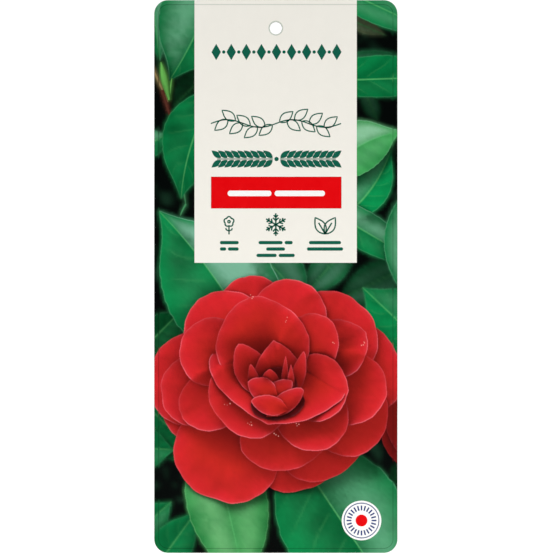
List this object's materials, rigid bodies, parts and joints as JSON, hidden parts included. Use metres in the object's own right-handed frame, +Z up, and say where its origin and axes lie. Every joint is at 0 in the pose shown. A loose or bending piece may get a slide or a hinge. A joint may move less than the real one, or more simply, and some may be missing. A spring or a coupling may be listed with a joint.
{
  "type": "hanging plant label",
  "caption": "Thin upright plastic label with round corners and a punched hanging hole, printed with a red camellia over green leaves below a plain cream panel.",
  "frame": {"origin": "middle of the punched hanging hole, halfway through the sheet", "axes": "+Z up along the label's length, -Y out of the printed face, +Y out of the back"},
  "size_m": [0.07, 0.0006, 0.159],
  "materials": {
    "printed_plastic": "satin white plastic sheet, printed on its front"
  },
  "bodies": {
    "root": {"label_sheet": "printed_plastic"}
  },
  "joints": []
}
